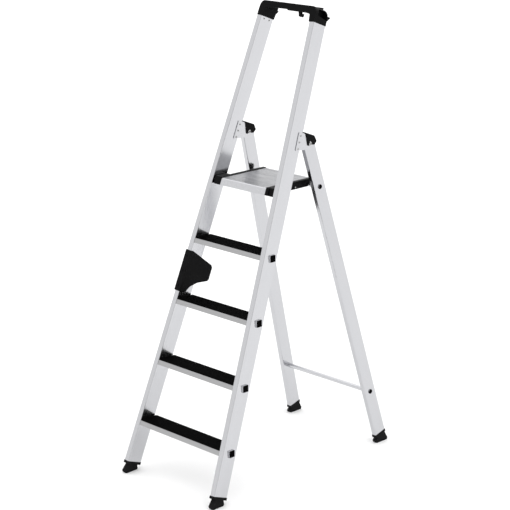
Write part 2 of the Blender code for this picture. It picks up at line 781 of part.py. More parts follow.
for label, axes, thick, depth, middle, end in foot_data:
    wall = STILE_WALL + 0.5 * MM
    for side, sign in SIDES.items():
        axis = axes[side]
        name = f"{label}_{side}"
        collar_top = end - GAP
        collar_bottom = collar_top - COLLAR_HEIGHT
        collar_outline = box_outline(
            thick + 2 * COLLAR_LIP, depth + 2 * COLLAR_LIP, 3.5 * MM, (0, middle)
        )
        insert_outline = box_outline(
            thick - 2 * wall, depth - 2 * wall, 1.5 * MM, (0, middle), 2
        )
        foot = place(name, extruded(name, [collar_outline], collar_bottom, collar_top, ALONG_Z), axis)
        insert = extruded(
            "insert", [insert_outline], collar_top - 3 * MM, collar_top + INSERT_LENGTH, ALONG_Z
        )
        boolean(foot, place_cutter(f"{name}_insert", insert, axis), "UNION")
        if label == "front_foot":
            sole = front_sole
            sole_x = STILE_AXIS_X - SPLAY_RATE * 30 * MM
        else:
            sole = rear_sole
            sole_x = PIVOT_AXIS_X + LEG_SPLAY_RATE * (LEG_LENGTH + 25 * MM)
        sole_mesh = extruded("sole", [sole], -SOLE_THICK / 2, SOLE_THICK / 2)
        for vertex in sole_mesh.vertices:
            vertex.co.x += -sign * (vertex.co.z - 20 * MM) * SPLAY_RATE
        sole_tool = place_cutter(f"{name}_sole", sole_mesh, root, (sign * sole_x, 0, 0))
        boolean(foot, sole_tool, "UNION")
        smooth(foot)
        finish(foot, "rubber")

# Platform -------------------------------------------------------------------------------
# Outlines here are measured from the platform's hinge axis.
deck_front = PLATFORM_FRONT - PLATFORM_PIN_Y
deck_top = PLATFORM_TOP - PLATFORM_PIN_Z
deck_low = deck_top - PLATFORM_DROP
deck_rear = DECK_REAR - PLATFORM_PIN_Y
tube_y = PIVOT_Y + CROSS_TUBE_DROP * math.sin(REAR_LEAN) - PLATFORM_PIN_Y
tube_z = PIVOT_Z - CROSS_TUBE_DROP * math.cos(REAR_LEAN) - PLATFORM_PIN_Z
PLATE_THICK = 5 * MM
PORT_SETBACKS = (84 * MM, 145 * MM)
PORT_DROP = 20 * MM
PORT_RADIUS = 4.2 * MM
PORT_WEB = 2.4 * MM
SCREW_RADIUS = 1.7 * MM
GROOVE_DEPTH = 0.9 * MM
GROOVE_WIDTH = 2.4 * MM
GROOVE_COUNT = 6
groove_pitch = (deck_rear - deck_front - 22 * MM) / GROOVE_COUNT

deck_outline = [(deck_front - PLATFORM_DROP * LEAN_TAN + 0.6 * MM, deck_low)]
deck_outline += [(deck_front + 22 * MM, deck_low), (deck_front + 22 * MM, deck_top - PLATE_THICK)]
port_loops = []
for setback in PORT_SETBACKS:
    port = (deck_front + setback, deck_top - PORT_DROP)
    deck_outline.append((port[0] - PORT_WEB / 2, deck_top - PLATE_THICK))
    deck_outline += arc(port, PORT_RADIUS, 107, 433, 14)
    deck_outline.append((port[0] + PORT_WEB / 2, deck_top - PLATE_THICK))
    port_loops.append(arc(port, SCREW_RADIUS + GAP, 0, 330, 11))
deck_outline += [(deck_rear - 3 * MM, deck_top - PLATE_THICK), (deck_rear - 3 * MM, deck_top - 11 * MM)]
deck_outline += [(deck_rear, deck_top - 11 * MM), (deck_rear, deck_top - 1 * MM)]
deck_outline.append((deck_rear - 1 * MM, deck_top))
for groove in range(GROOVE_COUNT - 1, -1, -1):
    middle = deck_front + 22 * MM + (groove + 0.5) * groove_pitch
    deck_outline += [
        (middle + GROOVE_WIDTH / 2, deck_top),
        (middle + GROOVE_WIDTH / 2 - 0.5 * MM, deck_top - GROOVE_DEPTH),
        (middle - GROOVE_WIDTH / 2 + 0.5 * MM, deck_top - GROOVE_DEPTH),
        (middle - GROOVE_WIDTH / 2, deck_top),
    ]
nose_radius = 7 * MM
deck_outline += arc(
    (deck_front + nose_radius - 0.6 * MM, deck_top - nose_radius), nose_radius, 90, 160, 6
)
deck_hollow = [
    (deck_front - 6.2 * MM, deck_low + 2.2 * MM),
    (deck_front + 19.6 * MM, deck_low + 2.2 * MM),
    (deck_front + 19.6 * MM, deck_top - 3 * MM),
    (deck_front + 6.5 * MM, deck_top - 3 * MM),
    (deck_front + 2.2 * MM, deck_top - 7.5 * MM),
]
deck = place(
    "platform_deck",
    extruded(
        "platform_deck", [deck_outline, deck_hollow, *port_loops], -DECK_HALF_WIDTH, DECK_HALF_WIDTH
    ),
    platform,
)
smooth(deck)
finish(deck, "aluminium")

# Side bars: a hinge block in front, a bar beside the deck and a hook over the cross tube.
hook_low = tube_z - 12 * MM
bar_rear = BAR_REAR - PLATFORM_PIN_Y
saddle = TUBE_RADIUS + 0.5 * MM
bar_corners = [(deck_front - PLATFORM_DROP * LEAN_TAN, deck_low, 2 * MM)]
bar_corners.append((tube_y - saddle - 8 * MM, deck_low, 2 * MM))
bar_corners += [(u, v, 0) for u, v in arc((tube_y, tube_z), saddle, 145, 0, 9)]
bar_corners.append((tube_y + saddle, hook_low, 0))
bar_corners.append((bar_rear, hook_low, 2 * MM))
bar_corners.append((bar_rear, deck_top, 3 * MM))
bar_corners.append((deck_front, deck_top, 3 * MM))
bar_outline = rounded(bar_corners, 3)
block_outline = rounded(
    [
        (deck_front - 6.5 * MM, deck_low - 2.5 * MM, 5 * MM),
        (deck_front + 58 * MM, deck_low - 2.5 * MM, 5 * MM),
        (deck_front + 66 * MM, deck_top, 3 * MM),
        (deck_front + 2.5 * MM, deck_top, 6 * MM),
    ],
    3,
)
bar_low = DECK_HALF_WIDTH + GAP
bar_high = bar_low + BAR_WIDTH
screw_profile = [
    (0, bar_high + 1.9 * MM),
    (2.2 * MM, bar_high + 1.7 * MM),
    (3.4 * MM, bar_high + 1 * MM),
    (3.6 * MM, bar_high + GAP),
    (SCREW_RADIUS, bar_high + GAP),
    (SCREW_RADIUS, DECK_HALF_WIDTH - 16 * MM),
    (0, DECK_HALF_WIDTH - 18 * MM),
]
for side, sign in SIDES.items():
    name = f"platform_side_bar_{side}"
    bar = place(name, extruded(name, [bar_outline], sign * bar_low, sign * bar_high), platform)
    block_mesh = extruded("block", [block_outline], sign * bar_low, sign * BLOCK_HALF_WIDTH)
    boolean(bar, place_cutter(f"{name}_block", block_mesh, platform), "UNION")
    bore_low = sign * (BLOCK_HALF_WIDTH - 24 * MM)
    bore_high = sign * (BLOCK_HALF_WIDTH + 5 * MM)
    bores = [rod("pin_bore", 5 * MM + GAP, bore_low, bore_high, 18)]
    for setback in PORT_SETBACKS:
        bore = rod("screw_bore", SCREW_RADIUS + GAP, 0, sign * 2 * DECK_HALF_WIDTH, 12)
        bores.append(moved(bore, (0, deck_front + setback, deck_top - PORT_DROP)))
    tool = place_cutter(f"{name}_bores", merged("bar_bores", bores), platform)
    boolean(bar, tool, "DIFFERENCE")
    smooth(bar)
    finish(bar, "plastic")

    # Screws through the bar into the deck's ports.
    for number, setback in enumerate(PORT_SETBACKS, 1):
        screw = turned(
            f"bar_screw_{side}_{number}",
            screw_profile,
            platform,
            (0, deck_front + setback, deck_top - PORT_DROP),
            (0, sign * quarter, 0),
            12,
        )
        smooth(screw)
        finish(screw, "steel")

    # Platform pin: its head sits inside the stile and its shank turns in the hinge block.
    pin_inner = inner_half_width(PLATFORM_PIN_Y, PLATFORM_PIN_Z)
    head_low = pin_inner + STILE_WALL + 0.8 * MM
    pin_profile = [
        (0, head_low + 3 * MM),
        (7.5 * MM, head_low + 3 * MM),
        (8 * MM, head_low + 2.4 * MM),
        (8 * MM, head_low),
        (5 * MM, head_low),
        (5 * MM, BLOCK_HALF_WIDTH - 22 * MM),
        (4 * MM, BLOCK_HALF_WIDTH - 23 * MM),
        (0, BLOCK_HALF_WIDTH - 23 * MM),
    ]
    pin = turned(f"platform_pin_{side}", pin_profile, platform, (0, 0, 0), (0, sign * quarter, 0), 20)
    smooth(pin)
    finish(pin, "steel")

# Top bow --------------------------------------------------------------------------------
# Front outline in the leaning plane, heights from the sockets' lower edge.
BOW_PROUD = 0.4 * MM
bow_half = STILE_AXIS_X - SPLAY_RATE * BOW_LOWER_EDGE + STILE_THICK / 2 + BOW_PROUD
bow_inner = bow_half - STILE_THICK - 3 * MM
bow_fore = STILE_FORE + BOW_PROUD
bow_rear = STILE_REAR + BOW_PROUD
# The arms' lower ends are square to the splayed stiles they stand on.
arm_outer = (STILE_THICK / 2 + BOW_PROUD) * SPLAY_RATE
arm_inner = arm_outer - (bow_half - bow_inner) * SPLAY_RATE
bow_front = rounded(
    [
        (-bow_half, arm_outer, 1 * MM),
        (-bow_inner, arm_inner, 1 * MM),
        (-bow_inner + 5.5 * MM, 31.5 * MM, 5 * MM),
        (-48 * MM, 36 * MM, 1 * MM),
        (-2 * MM, 36 * MM, 0),
        (4 * MM, 32 * MM, 0),
        (bow_inner - 5.5 * MM, 31.5 * MM, 4 * MM),
        (bow_inner, arm_inner, 1 * MM),
        (bow_half, arm_outer, 1 * MM),
        (bow_half - 4.2 * MM, 61.8 * MM, 27 * MM),
        (-bow_half + 4.2 * MM, 61.8 * MM, 27 * MM),
    ],
    4,
)
# Side outline of the arms and tray body.
bow_side = rounded(
    [
        (-bow_fore, -3 * MM, 0),
        (-bow_fore, 60.5 * MM, 3 * MM),
        (34 * MM, 62.5 * MM, 6 * MM),
        (64 * MM, 61 * MM, 5 * MM),
        (bow_rear, 48 * MM, 4 * MM),
        (bow_rear, -3 * MM, 0),
    ],
    3,
)
bow = place(
    "top_bow",
    extruded("top_bow", [bow_front], -10 * MM, 80 * MM, ALONG_Y),
    front,
    (0, 0, BOW_LOWER_EDGE),
)
bow_extent = 200 * MM
side_mesh = extruded("bow_side", [bow_side], -bow_extent, bow_extent)
boolean(bow, place_cutter("bow_side_shape", side_mesh, front, (0, 0, BOW_LOWER_EDGE)), "INTERSECT")
# A tray recess whose floor is level with the ground, and a hollow of even skin below it.
TRAY_HALF = 98 * MM
TRAY_FRONT = 4 * MM
TRAY_REAR = 56 * MM
TRAY_FLOOR = 43.5 * MM
TRAY_SKIN = 3.5 * MM
HOLLOW_REAR = 48 * MM
tray_outline = rounded(
    [
        (TRAY_FRONT, TRAY_FLOOR, 3 * MM),
        (TRAY_REAR, TRAY_FLOOR + (TRAY_REAR - TRAY_FRONT) * LEAN_TAN, 0),
        (TRAY_REAR, 80 * MM, 0),
        (TRAY_FRONT, 80 * MM, 0),
    ]
)
hollow_front = TRAY_FRONT - 2 * MM
hollow_top = TRAY_FLOOR - TRAY_SKIN - (TRAY_FRONT - hollow_front) * LEAN_TAN
underside_outline = rounded(
    [
        (hollow_front, 20 * MM, 0),
        (HOLLOW_REAR, 20 * MM, 0),
        (HOLLOW_REAR, hollow_top + (HOLLOW_REAR - hollow_front) * LEAN_TAN, 3 * MM),
        (hollow_front, hollow_top, 1.5 * MM),
    ]
)
tray = extruded("bow_tray", [tray_outline], -TRAY_HALF, TRAY_HALF)
underside = extruded("bow_underside", [underside_outline], -TRAY_HALF, TRAY_HALF)
hollow_mesh = merged("bow_hollows", [tray, underside])
hollows = place_cutter("bow_hollows", hollow_mesh, front, (0, 0, BOW_LOWER_EDGE))
boolean(bow, hollows, "DIFFERENCE")
# Below the tray the bow is open behind, between its arms.
REAR_OPENING_HALF = 116 * MM
REAR_WALL_LOW = 51 * MM
opening_outline = rounded(
    [
        (34 * MM, 10 * MM, 0),
        (90 * MM, 10 * MM, 0),
        (90 * MM, REAR_WALL_LOW, 0),
        (34 * MM, REAR_WALL_LOW, 1.5 * MM),
    ]
)
opening = extruded("bow_opening", [opening_outline], -REAR_OPENING_HALF, REAR_OPENING_HALF)
boolean(bow, place_cutter("bow_opening", opening, front, (0, 0, BOW_LOWER_EDGE)), "DIFFERENCE")
# Raised rear rim of the tray, tongues inside the stiles, and pointed ledges behind the arms.
rim_outline = rounded(
    [
        (58 * MM, REAR_WALL_LOW + 2 * MM, 0),
        (67 * MM, REAR_WALL_LOW + 2 * MM, 0),
        (67 * MM, 69.5 * MM, 1.5 * MM),
        (61 * MM, 69.5 * MM, 1.5 * MM),
    ],
    2,
)
RIM_HALF = 120 * MM
rim = extruded("bow_rim", [rim_outline], -RIM_HALF, RIM_HALF)
boolean(bow, place_cutter("bow_rim", rim, front, (0, 0, BOW_LOWER_EDGE)), "UNION")
TONGUE_LENGTH = 24 * MM
tongue_play = STILE_WALL + 0.5 * MM
tongue_outline = box_outline(
    STILE_THICK - 2 * tongue_play, STILE_DEPTH - 2 * tongue_play, 1.5 * MM, (0, STILE_MIDDLE), 2
)
ledge_root = STILE_REAR - 2 * MM
ledge_outline = rounded(
    [
        (ledge_root, 38.5 * MM, 0),
        (ledge_root, 17.5 * MM, 0),
        (bow_rear, 17.5 * MM, 0),
        (83 * MM, 34.5 * MM, 1 * MM),
        (83 * MM, 38.5 * MM, 1 * MM),
    ],
    2,
)
for side, sign in SIDES.items():
    axis = stile_axis[side]
    low = along_stile(BOW_LOWER_EDGE) - TONGUE_LENGTH
    high = along_stile(BOW_LOWER_EDGE) + 2 * MM
    tongue = extruded("bow_tongue", [tongue_outline], low, high, ALONG_Z)
    boolean(bow, place_cutter(f"bow_tongue_{side}", tongue, axis), "UNION")
    ledge = extruded("bow_ledge", [ledge_outline], -STILE_THICK / 2, STILE_THICK / 2)
    location = (0, 0, along_stile(BOW_LOWER_EDGE))
    boolean(bow, place_cutter(f"bow_ledge_{side}", ledge, axis, location), "UNION")
    rivet_holes = [
        moved(
            rod("tongue_hole", RIVET_RADIUS + GAP, sign * -hole_reach, 0, 14),
            (0, setback, along_stile(BOW_LOWER_EDGE - BOW_RIVET_DROP)),
        )
        for setback in BOW_RIVET_SETBACKS
    ]
    hole_mesh = merged("tongue_holes", rivet_holes)
    boolean(bow, place_cutter(f"tongue_holes_{side}", hole_mesh, axis), "DIFFERENCE")
# Hanging hook under the tray.
hook_outline = rounded(
    [
        (57 * MM, 40 * MM, 0),
        (68 * MM, 13.5 * MM, 4 * MM),
        (84 * MM, 13.5 * MM, 3 * MM),
        (86 * MM, 26 * MM, 1.5 * MM),
        (81 * MM, 26 * MM, 1.5 * MM),
        (79.5 * MM, 20 * MM, 1 * MM),
        (74 * MM, 20 * MM, 1.5 * MM),
        (73.5 * MM, 40 * MM, 0),
    ],
    3,
)
hook = extruded("bow_hook", [hook_outline], -1.8 * MM, 8 * MM, ALONG_Y)
boolean(bow, place_cutter("bow_hook", hook, front, (0, 0, BOW_LOWER_EDGE)), "UNION")
smooth(bow)
finish(bow, "plastic")

# Blind rivets that hold the bow's tongues in the stiles.
bow_rivet_profile = [
    (0, STILE_THICK / 2 + GAP + 1.4 * MM),
    (2.4 * MM, STILE_THICK / 2 + GAP + 1.2 * MM),
    (3.7 * MM, STILE_THICK / 2 + GAP + 0.5 * MM),
    (4 * MM, STILE_THICK / 2 + GAP),
    (RIVET_RADIUS, STILE_THICK / 2 + GAP),
    (RIVET_RADIUS, 1 * MM),
    (0, 1 * MM),
]
for side, sign in SIDES.items():
    for number, setback in enumerate(BOW_RIVET_SETBACKS, 1):
        rivet = turned(
            f"bow_rivet_{side}_{number}",
            bow_rivet_profile,
            stile_axis[side],
            (0, setback, along_stile(BOW_LOWER_EDGE - BOW_RIVET_DROP)),
            (0, -sign * quarter, 0),
            14,
        )
        smooth(rivet)
        finish(rivet, "steel")

# Carry grip -----------------------------------------------------------------------------
# A channel clipped round the left stile whose wings also flank the folded rear leg.
GRIP_WALL = 2.6 * MM
GRIP_MIDDLE = 842 * MM
grip_fore = -STILE_FORE - GAP - GRIP_WALL
wing_outline = rounded(
    [
        (grip_fore, -84 * MM, 3 * MM),
        (28 * MM, -84 * MM, 10 * MM),
        (46 * MM, -57 * MM, 12 * MM),
        (80 * MM, -36.5 * MM, 30 * MM),
        (130 * MM, -22 * MM, 4 * MM),
        (137 * MM, -14 * MM, 4 * MM),
        (136 * MM, 36 * MM, 5 * MM),
        (128 * MM, 45 * MM, 3 * MM),
        (8 * MM, 83.5 * MM, 6 * MM),
        (grip_fore, 83.5 * MM, 4 * MM),
    ],
    3,
)
grip_half = STILE_THICK / 2 + GAP + GRIP_WALL
grip_at = (0, 0, along_stile(GRIP_MIDDLE))
grip = place(
    "carry_grip",
    extruded("carry_grip", [wing_outline], -grip_half, grip_half),
    stile_axis["left"],
    grip_at,
)
grip_slot = extruded(
    "grip_slot",
    [
        [
            (-STILE_FORE - GAP, -120 * MM),
            (160 * MM, -120 * MM),
            (160 * MM, 120 * MM),
            (-STILE_FORE - GAP, 120 * MM),
        ]
    ],
    -STILE_THICK / 2 - GAP,
    STILE_THICK / 2 + GAP,
)
boolean(grip, place_cutter("grip_slot", grip_slot, stile_axis["left"], grip_at), "DIFFERENCE")
smooth(grip)
finish(grip, "plastic")
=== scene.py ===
"""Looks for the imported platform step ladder: camera, light, finishes and finer moulded detail.

Metres, +Z up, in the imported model's own frame: the climbing side faces -Y.
"""

import json
import math

import bmesh
import bpy
from mathutils import Matrix, Vector


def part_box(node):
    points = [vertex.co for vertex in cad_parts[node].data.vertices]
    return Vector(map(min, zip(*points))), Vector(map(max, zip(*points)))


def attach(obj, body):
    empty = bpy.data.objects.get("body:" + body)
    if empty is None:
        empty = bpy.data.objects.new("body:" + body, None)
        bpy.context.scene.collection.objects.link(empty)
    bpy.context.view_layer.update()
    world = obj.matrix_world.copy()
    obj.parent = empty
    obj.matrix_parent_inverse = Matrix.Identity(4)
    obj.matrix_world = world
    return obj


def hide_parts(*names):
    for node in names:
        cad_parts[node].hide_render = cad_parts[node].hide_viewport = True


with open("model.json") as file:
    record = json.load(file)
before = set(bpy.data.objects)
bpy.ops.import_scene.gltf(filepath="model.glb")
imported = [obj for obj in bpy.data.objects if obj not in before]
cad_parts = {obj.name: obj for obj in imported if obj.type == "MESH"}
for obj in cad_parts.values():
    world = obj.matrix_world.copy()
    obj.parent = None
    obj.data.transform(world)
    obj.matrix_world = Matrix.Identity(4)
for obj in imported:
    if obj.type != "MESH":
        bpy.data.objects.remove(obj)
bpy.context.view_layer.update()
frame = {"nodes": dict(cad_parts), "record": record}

MM = 0.001
ALONG_X = Vector((1, 0, 0))
UPWARD = Vector((0, 0, 1))

# Linear shades of the finishes.
ANODISED = (0.558, 0.561, 0.58)
# The rear legs take the stiles' anodised shade darkened a little: painted shade.
LEG_ANODISED_SHADED = (0.54, 0.543, 0.561)
TREAD_GREY = (0.4, 0.4, 0.405)
DECK_GREY = (0.405, 0.408, 0.422)
BOLT_STEEL = (0.52, 0.52, 0.515)
# Near-black steel lining the fasteners' holes and sockets: painted shade inside the recesses.
RECESS_SHADE_STEEL = (0.045, 0.045, 0.045)
BLACK = (0.0034, 0.0034, 0.0036)
COVER_BLACK = (0.0014, 0.0014, 0.0015)
PLUG_BLACK = (0.0012, 0.0012, 0.0013)
FOOT_BLACK = (0.0075, 0.0075, 0.0078)
METAL_SPECULAR = 0.5

# Noise cells per metre: across, through and along a drawn section, or a moulding's three ways.
DIE_LINES = (900, 900, 3)
CLOUDING = (14, 14, 9)
HANDLING = (45, 45, 30)
STREAKS_ALONG = 1.3
TUMBLING = (1600, 1600, 1600)
FLOW_MARKS = (24, 24, 24)

# Relief depths.
DIE_LINE_DEPTH = 0.006 * MM
CLOUDING_DEPTH = 0.02 * MM
TUMBLING_DEPTH = 0.01 * MM
FLOW_DEPTH = 0.05 * MM

# Edge rounding of the finer copies, by material slot.
ROUNDING = {
    "stile_aluminium": 0.4 * MM,
    "leg_aluminium": 0.4 * MM,
    "tube_aluminium": 0.3 * MM,
    "tread_aluminium": 0.4 * MM,
    "deck_aluminium": 0.4 * MM,
    "bracket_aluminium": 0.5 * MM,
    "fastener_steel": 0.3 * MM,
    "cover_plastic": 0.25 * MM,
    "bow_plastic": 1.6 * MM,
    "grip_plastic": 1.0 * MM,
    "hinge_plastic": 1.6 * MM,
    "bar_plastic": 0.8 * MM,
    "plug_plastic": 0.5 * MM,
    "foot_rubber": 1.5 * MM,
}
ROUNDING_SEGMENTS = 2
ROUNDED_ABOVE = math.radians(28)
FLAT_BELOW = math.radians(0.6)
CREASED_ABOVE = math.radians(50)
SAME_POINT = 0.002 * MM

# Fine detail. CLEAR is how far a cutter stands out of the face it cuts.
CLEAR = 2 * MM
RIVET_HOLE_RADIUS = 1.7 * MM
RIVET_HOLE_DEPTH = 1.6 * MM
BOLT_SOCKET_RADIUS = 3.4 * MM
BOLT_SOCKET_DEPTH = 2.4 * MM
SCREW_RECESS_REACH = 1.5 * MM
SCREW_RECESS_HALF = 0.45 * MM
SCREW_RECESS_DEPTH = 0.9 * MM
MAIN_GROOVE_DEPTH = 0.9 * MM
FINE_PER_GROOVE = 9
FINE_HALF = 0.5 * MM
FINE_DEPTH = 0.4 * MM
FINE_MARGIN = 3 * MM
FINE_CLEAR = 0.2 * MM
SAME_HEIGHT = 0.05 * MM
GRIP_SCREW_SHARES = (0.14, 0.5, 0.86)
GRIP_SCREW_RADIUS = 4.2 * MM
GRIP_SCREW_DEPTH = 1.7 * MM
GRIP_LINE_SETBACK = 9 * MM
GRIP_LINE_MARGIN = 7 * MM
GRIP_LINE_HALF = 1.2 * MM
GRIP_LINE_DEPTH = 0.8 * MM
POCKET_DEPTH = 17 * MM
POCKET_CLEAR = 12 * MM
POCKET_CORNERS = (
    # (stile face it is measured from, distance behind that face, height over the stile's end)
    ("front", 16 * MM, 30 * MM),
    ("rear", -2.5 * MM, 22 * MM),
    ("rear", -2.5 * MM, 44 * MM),
    ("rear", -9 * MM, 56 * MM),
    ("front", 26 * MM, 57 * MM),
    ("front", 17 * MM, 48 * MM),
)
NOSE_LOW_MARGIN = 2 * MM
LIP_RISE = 2 * MM
TREADS = (1, 2, 3, 4)

# Studio and camera.
FLOOR_SIZE = 120.0
FLOOR_WHITE = (0.9, 0.9, 0.9, 1.0)
FLOOR_ROUGHNESS = 0.9
HORIZON_LIGHT = 1.045
ZENITH_EXTRA = 0.3
DARK_END = Vector((0.68, -0.68, 0.27)).normalized()
DARK_END_LIGHT = 0.72
DARK_END_INNER = math.radians(16)
DARK_END_OUTER = math.radians(38)
SOFTBOX_ANGLE = math.radians(110)
SOFTBOX_ENERGY = 0.75
SOFTBOX_HEIGHT = 6.0
CAMERA_PLACE = (4.5469, -4.5348, 2.671)
CAMERA_AZIMUTH = math.radians(45.169)
CAMERA_TILT = math.radians(90 - 15.855)
CAMERA_ROLL = math.radians(-0.167)
CAMERA_LENS = 119.77
CAMERA_SENSOR = 36.0
CAMERA_REACH = 300.0

nodes = frame["nodes"]
body_of_node = {
    node: body
    for body, members in frame["record"]["behaviour"]["bodies"].items()
    for node in members
}
slot_of_node = {part["node"]: part["material_slot"] for part in frame["record"]["subparts"]}


# Shader building ------------------------------------------------------------------------
def add_node(tree, kind, sockets=None, **settings):
    """A shader node with its settings made and its sockets set or linked."""
    made = tree.nodes.new(kind)
    for name, value in settings.items():
        setattr(made, name, value)
    for socket, value in (sockets or {}).items():
        if isinstance(value, bpy.types.NodeSocket):
            tree.links.new(value, made.inputs[socket])
        else:
            made.inputs[socket].default_value = value
    return made


def new_material(name, metallic, specular):
    """An empty Principled material and its parts."""
    material = bpy.data.materials.new(name)
    material.use_nodes = True
    shader = material.node_tree.nodes["Principled BSDF"]
    shader.inputs["Metallic"].default_value = metallic
    shader.inputs["Specular IOR Level"].default_value = specular
    return material, material.node_tree, shader


def object_coordinates(tree, axis=None):
    """Coordinates in metres that stay on the piece, turned so that the axis runs along Z."""
    place = add_node(tree, "ShaderNodeTexCoord").outputs["Object"]
    if axis is None:
        return place
    turn = Vector(axis).rotation_difference(UPWARD).to_euler()
    turned = add_node(tree, "ShaderNodeMapping", {"Vector": place, "Rotation": turn})
    return turned.outputs["Vector"]


def noise(tree, place, scale, detail=3.0, roughness=0.55):
    """Noise with its own scale along each axis, in cells per metre."""
    scaled = add_node(tree, "ShaderNodeMapping", {"Vector": place, "Scale": scale})
    made = add_node(
        tree,
        "ShaderNodeTexNoise",
        {
            "Vector": scaled.outputs["Vector"],
            "Scale": 1.0,
            "Detail": detail,
            "Roughness": roughness,
        },
    )
    return made.outputs["Fac"]


def between(tree, factor, low, high, start=0.3, end=0.7):
    """A value that runs from low to high as the factor runs from start to end."""
    made = add_node(
        tree,
        "ShaderNodeMapRange",
        {
            "Value": factor,
            "From Min": start,
            "From Max": end,
            "To Min": low,
            "To Max": high,
        },
    )
    return made.outputs["Result"]


def tinted(tree, factor, dark, light):
    """A colour that runs from dark to light with the factor."""
    ramp = add_node(tree, "ShaderNodeValToRGB", {"Fac": factor})
    ramp.color_ramp.elements[0].position = 0.3
    ramp.color_ramp.elements[0].color = (*dark, 1.0)
    ramp.color_ramp.elements[1].position = 0.7
    ramp.color_ramp.elements[1].color = (*light, 1.0)
    return ramp.outputs["Color"]


def relief(tree, shader, heights):
    """Bumps from (height, depth in metres) pairs, one over the other."""
    normal = None
    for height, depth in heights:
        sockets = {"Height": height, "Distance": depth, "Strength": 1.0}
        if normal is not None:
            sockets["Normal"] = normal
        normal = add_node(tree, "ShaderNodeBump", sockets).outputs["Normal"]
    tree.links.new(normal, shader.inputs["Normal"])


def aluminium(name, axis, shade, roughness, tone=0.015, streak=70):
    """Drawn extrusion: die lines and soft streaks along the axis, clouding, handling marks."""
    material, tree, shader = new_material(name, 1.0, METAL_SPECULAR)
    place = object_coordinates(tree, axis)
    lines = noise(tree, place, DIE_LINES, detail=2.0)
    streaks = noise(tree, place, (streak, streak, STREAKS_ALONG), detail=3.0)
    clouds = noise(tree, place, CLOUDING, detail=4.0)
    handling = noise(tree, place, HANDLING, detail=6.0, roughness=0.7)
    marks = between(tree, handling, 0.0, 0.03, start=0.56, end=0.7)
    mixed = add_node(
        tree, "ShaderNodeMath", {0: streaks, 1: clouds}, operation="MULTIPLY_ADD"
    )
    mixed.inputs[2].default_value = 0.25
    dark = [channel * (1 - tone) for channel in shade]
    light = [channel * (1 + tone) for channel in shade]
    colour = tinted(tree, mixed.outputs["Value"], dark, light)
    tree.links.new(colour, shader.inputs["Base Color"])
    drawn = between(tree, lines, roughness * 0.86, roughness * 1.16)
    handled = add_node(tree, "ShaderNodeMath", {0: drawn, 1: marks}, operation="ADD")
    tree.links.new(handled.outputs["Value"], shader.inputs["Roughness"])
    relief(tree, shader, [(lines, DIE_LINE_DEPTH), (clouds, CLOUDING_DEPTH)])
    return material


def steel(name, shade, roughness):
    """Plated fastener: fine tumbling marks."""
    material, tree, shader = new_material(name, 1.0, METAL_SPECULAR)
    place = object_coordinates(tree)
    marks = noise(tree, place, TUMBLING, detail=3.0)
    dark = [channel * 0.9 for channel in shade]
    tree.links.new(tinted(tree, marks, dark, shade), shader.inputs["Base Color"])
    tree.links.new(
        between(tree, marks, roughness * 0.8, roughness * 1.25), shader.inputs["Roughness"]
    )
    relief(tree, shader, [(marks, TUMBLING_DEPTH)])
    return material


def moulded(name, shade, specular, roughness, grain=1100, depth=0.03 * MM):
    """Moulded black plastic: a fine spark-eroded grain with faint flow clouding."""
    material, tree, shader = new_material(name, 0.0, specular)
    place = object_coordinates(tree)
    pores = noise(tree, place, (grain, grain, grain), detail=4.0, roughness=0.65)
    flow = noise(tree, place, FLOW_MARKS, detail=3.0)
    dark = [channel * 0.82 for channel in shade]
    light = [channel * 1.2 for channel in shade]
    tree.links.new(tinted(tree, flow, dark, light), shader.inputs["Base Color"])
    tree.links.new(
        between(tree, pores, roughness * 0.85, roughness * 1.15), shader.inputs["Roughness"]
    )
    relief(tree, shader, [(flow, FLOW_DEPTH), (pores, depth)])
    return material


def long_axis(node):
    """Direction along a member, from the middle of its lower end to the middle of its upper end."""
    low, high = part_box(node)
    reach = (high.z - low.z) * 0.04
    ends = []
    for near in (lambda z: z < low.z + reach, lambda z: z > high.z - reach):
        points = [v.co for v in nodes[node].data.vertices if near(v.co.z)]
        ends.append(sum(points, Vector()) / len(points))
    return (ends[1] - ends[0]).normalized()


finishes = {}
for side in ("left", "right"):
    members = ((f"stile_{side}", ANODISED, 0.18), (f"rear_leg_{side}", LEG_ANODISED_SHADED, 0.14))
    for member, shade, roughness in members:
        finishes[member] = aluminium(member, long_axis(member), shade, roughness)
finishes["tube_aluminium"] = aluminium("tube_aluminium", ALONG_X, ANODISED, roughness=0.22)
finishes["tread_aluminium"] = aluminium("tread_aluminium", ALONG_X, TREAD_GREY, roughness=0.34)
finishes["deck_aluminium"] = aluminium(
    "deck_aluminium", ALONG_X, DECK_GREY, roughness=0.3, tone=0.14, streak=30
)
finishes["bracket_aluminium"] = aluminium(
    "bracket_aluminium", UPWARD, ANODISED, roughness=0.26
)
finishes["fastener_steel"] = steel("fastener_steel", BOLT_STEEL, roughness=0.3)
finishes["recess_shade_steel"] = steel("recess_shade_steel", RECESS_SHADE_STEEL, roughness=0.5)
finishes["cover_plastic"] = moulded(
    "cover_plastic", COVER_BLACK, specular=0.01, roughness=0.6
)
finishes["plug_plastic"] = moulded(
    "plug_plastic", PLUG_BLACK, specular=0.012, roughness=0.6
)
for slot in ("bow", "grip", "hinge", "bar"):
    finishes[f"{slot}_plastic"] = moulded(
        f"{slot}_plastic", BLACK, specular=0.05, roughness=0.45
    )
finishes["foot_rubber"] = moulded(
    "foot_rubber", FOOT_BLACK, specular=0.06, roughness=0.7, grain=700, depth=0.06 * MM
)


def finish_for(node):
    """A member's own finish where it has one, or else its slot's."""
    return finishes.get(node) or finishes[slot_of_node[node]]


